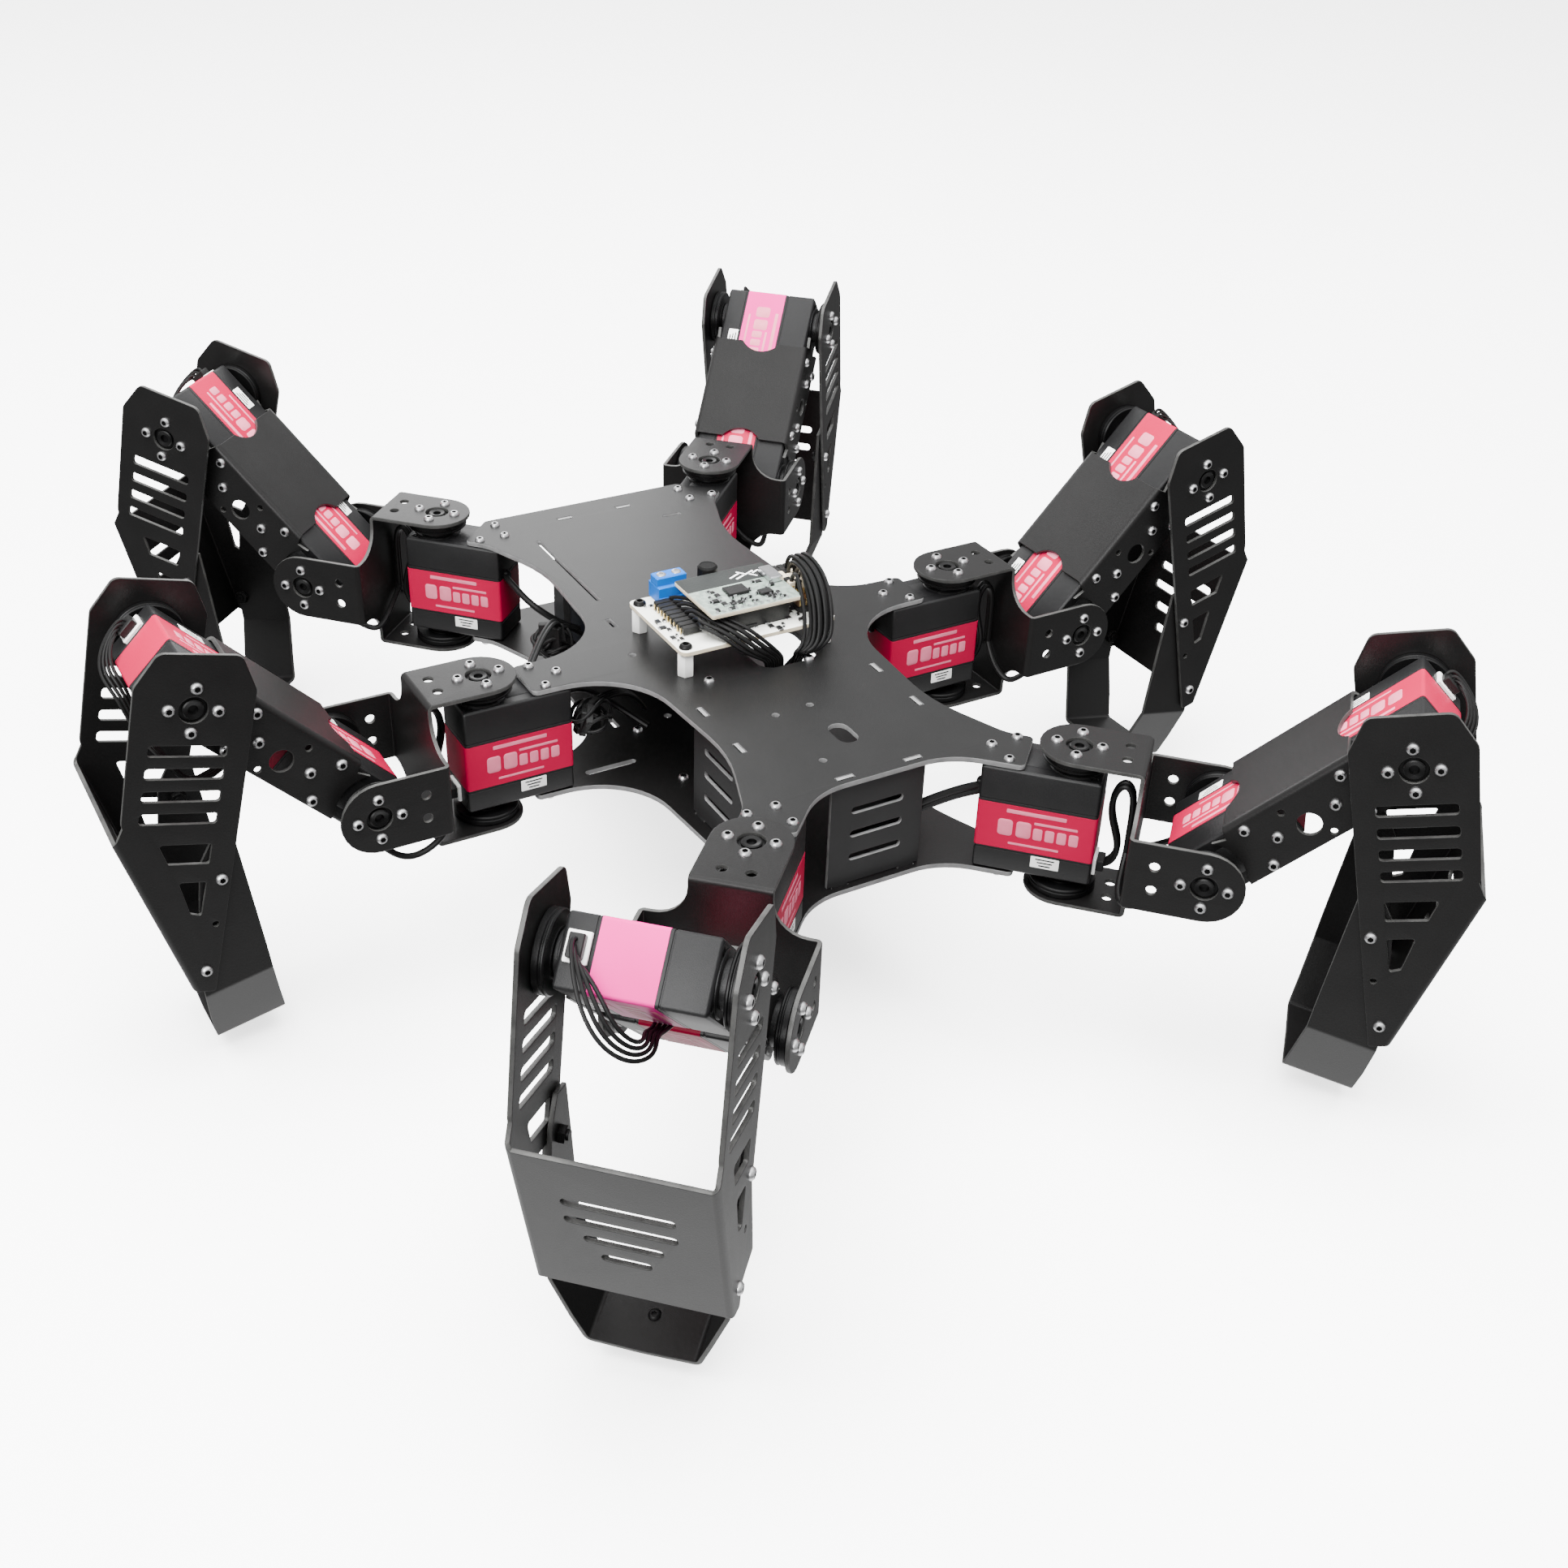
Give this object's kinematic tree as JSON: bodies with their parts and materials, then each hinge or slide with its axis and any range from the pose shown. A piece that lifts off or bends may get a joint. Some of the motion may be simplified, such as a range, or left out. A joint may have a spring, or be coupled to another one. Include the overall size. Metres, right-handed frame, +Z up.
{
  "type": "hexapod robot kit",
  "caption": "Walking robot kit with six jointed legs, black sheet-metal brackets, geared servos at every joint and a controller board on top.",
  "frame": {"origin": "on the floor, under the middle of the chassis and of the six feet", "axes": "+Z up; +Y towards the chassis's straight-edged front end; +X to the robot's right"},
  "size_m": [0.4536, 0.4858, 0.1611],
  "materials": {
    "black_sheet": "satin",
    "servo_plastic": "satin",
    "rubber": "matte",
    "white_board": "satin",
    "green_board": "satin",
    "blue_plastic": "satin",
    "battery_wrap": "gloss",
    "black_lead": "satin",
    "steel_screws": "bright",
    "red_label": "satin",
    "white_nylon": "satin"
  },
  "bodies": {
    "chassis": {"top_plate": "black_sheet", "bottom_plate": "black_sheet", "panel_rear_end": "black_sheet", "panel_front_end": "black_sheet", "panel_rear_left": "black_sheet", "panel_rear_right": "black_sheet", "servo_controller": "white_board", "power_terminal": "blue_plastic", "upper_board": "green_board", "battery_pack": "battery_wrap", "lead_bundle_left": "black_lead", "lead_bundle_right": "black_lead", "hip_servo_front_right": "servo_plastic", "hip_servo_middle_right": "servo_plastic", "hip_servo_rear_right": "servo_plastic", "hip_servo_rear_left": "servo_plastic", "hip_servo_middle_left": "servo_plastic", "hip_servo_front_left": "servo_plastic"},
    "hip_front_right": {"hip_bracket_front_right": "black_sheet"},
    "femur_front_right": {"femur_bracket_front_right": "black_sheet", "pitch_servo_front_right": "servo_plastic", "knee_servo_front_right": "servo_plastic"},
    "tibia_front_right": {"tibia_bracket_front_right": "black_sheet", "foot_strap_front_right": "black_sheet", "foot_pad_front_right": "rubber"},
    "hip_middle_right": {"hip_bracket_middle_right": "black_sheet"},
    "femur_middle_right": {"femur_bracket_middle_right": "black_sheet", "pitch_servo_middle_right": "servo_plastic", "knee_servo_middle_right": "servo_plastic"},
    "tibia_middle_right": {"tibia_bracket_middle_right": "black_sheet", "foot_strap_middle_right": "black_sheet", "foot_pad_middle_right": "rubber"},
    "hip_rear_right": {"hip_bracket_rear_right": "black_sheet"},
    "femur_rear_right": {"femur_bracket_rear_right": "black_sheet", "pitch_servo_rear_right": "servo_plastic", "knee_servo_rear_right": "servo_plastic"},
    "tibia_rear_right": {"tibia_bracket_rear_right": "black_sheet", "foot_strap_rear_right": "black_sheet", "foot_pad_rear_right": "rubber"},
    "hip_rear_left": {"hip_bracket_rear_left": "black_sheet"},
    "femur_rear_left": {"femur_bracket_rear_left": "black_sheet", "pitch_servo_rear_left": "servo_plastic", "knee_servo_rear_left": "servo_plastic"},
    "tibia_rear_left": {"tibia_bracket_rear_left": "black_sheet", "foot_strap_rear_left": "black_sheet", "foot_pad_rear_left": "rubber"},
    "hip_middle_left": {"hip_bracket_middle_left": "black_sheet"},
    "femur_middle_left": {"femur_bracket_middle_left": "black_sheet", "pitch_servo_middle_left": "servo_plastic", "knee_servo_middle_left": "servo_plastic"},
    "tibia_middle_left": {"tibia_bracket_middle_left": "black_sheet", "foot_strap_middle_left": "black_sheet", "foot_pad_middle_left": "rubber"},
    "hip_front_left": {"hip_bracket_front_left": "black_sheet"},
    "femur_front_left": {"femur_bracket_front_left": "black_sheet", "pitch_servo_front_left": "servo_plastic", "knee_servo_front_left": "servo_plastic"},
    "tibia_front_left": {"tibia_bracket_front_left": "black_sheet", "foot_strap_front_left": "black_sheet", "foot_pad_front_left": "rubber"}
  },
  "joints": [
    {"name": "hip_yaw_front_right", "type": "hinge", "parent": "chassis", "child": "hip_front_right", "pos_m": [0.0613, 0.1298, 0.085], "axis": [0, 0, 1], "range_deg": [-35, 35]},
    {"name": "femur_pitch_front_right", "type": "hinge", "parent": "hip_front_right", "child": "femur_front_right", "pos_m": [0.09427, 0.16358, 0.085], "axis": [0.7157, -0.6984, 0], "range_deg": [-45, 40]},
    {"name": "knee_front_right", "type": "hinge", "parent": "femur_front_right", "child": "tibia_front_right", "pos_m": [0.13157, 0.20181, 0.14032], "axis": [-0.7157, 0.6984, 0], "range_deg": [-80, 20]},
    {"name": "hip_yaw_middle_right", "type": "hinge", "parent": "chassis", "child": "hip_middle_right", "pos_m": [0.0962, 0, 0.085], "axis": [0, 0, 1], "range_deg": [-35, 35]},
    {"name": "femur_pitch_middle_right", "type": "hinge", "parent": "hip_middle_right", "child": "femur_middle_right", "pos_m": [0.1434, 0, 0.085], "axis": [0, -1, 0], "range_deg": [-45, 40]},
    {"name": "knee_middle_right", "type": "hinge", "parent": "femur_middle_right", "child": "tibia_middle_right", "pos_m": [0.19682, 0, 0.14032], "axis": [0, 1, 0], "range_deg": [-80, 20]},
    {"name": "hip_yaw_rear_right", "type": "hinge", "parent": "chassis", "child": "hip_rear_right", "pos_m": [0.0613, -0.1298, 0.085], "axis": [0, 0, 1], "range_deg": [-35, 35]},
    {"name": "femur_pitch_rear_right", "type": "hinge", "parent": "hip_rear_right", "child": "femur_rear_right", "pos_m": [0.09427, -0.16358, 0.085], "axis": [-0.7157, -0.6984, 0], "range_deg": [-45, 40]},
    {"name": "knee_rear_right", "type": "hinge", "parent": "femur_rear_right", "child": "tibia_rear_right", "pos_m": [0.13157, -0.20181, 0.14032], "axis": [0.7157, 0.6984, 0], "range_deg": [-80, 20]},
    {"name": "hip_yaw_rear_left", "type": "hinge", "parent": "chassis", "child": "hip_rear_left", "pos_m": [-0.0613, -0.1298, 0.085], "axis": [0, 0, 1], "range_deg": [-35, 35]},
    {"name": "femur_pitch_rear_left", "type": "hinge", "parent": "hip_rear_left", "child": "femur_rear_left", "pos_m": [-0.09427, -0.16358, 0.085], "axis": [-0.7157, 0.6984, 0], "range_deg": [-45, 40]},
    {"name": "knee_rear_left", "type": "hinge", "parent": "femur_rear_left", "child": "tibia_rear_left", "pos_m": [-0.13157, -0.20181, 0.14032], "axis": [0.7157, -0.6984, 0], "range_deg": [-80, 20]},
    {"name": "hip_yaw_middle_left", "type": "hinge", "parent": "chassis", "child": "hip_middle_left", "pos_m": [-0.0962, 0, 0.085], "axis": [0, 0, 1], "range_deg": [-35, 35]},
    {"name": "femur_pitch_middle_left", "type": "hinge", "parent": "hip_middle_left", "child": "femur_middle_left", "pos_m": [-0.1434, 0, 0.085], "axis": [0, 1, 0], "range_deg": [-45, 40]},
    {"name": "knee_middle_left", "type": "hinge", "parent": "femur_middle_left", "child": "tibia_middle_left", "pos_m": [-0.19682, 0, 0.14032], "axis": [0, -1, 0], "range_deg": [-80, 20]},
    {"name": "hip_yaw_front_left", "type": "hinge", "parent": "chassis", "child": "hip_front_left", "pos_m": [-0.0613, 0.1298, 0.085], "axis": [0, 0, 1], "range_deg": [-35, 35]},
    {"name": "femur_pitch_front_left", "type": "hinge", "parent": "hip_front_left", "child": "femur_front_left", "pos_m": [-0.09427, 0.16358, 0.085], "axis": [0.7157, 0.6984, 0], "range_deg": [-45, 40]},
    {"name": "knee_front_left", "type": "hinge", "parent": "femur_front_left", "child": "tibia_front_left", "pos_m": [-0.13157, 0.20181, 0.14032], "axis": [-0.7157, -0.6984, 0], "range_deg": [-80, 20]}
  ]
}
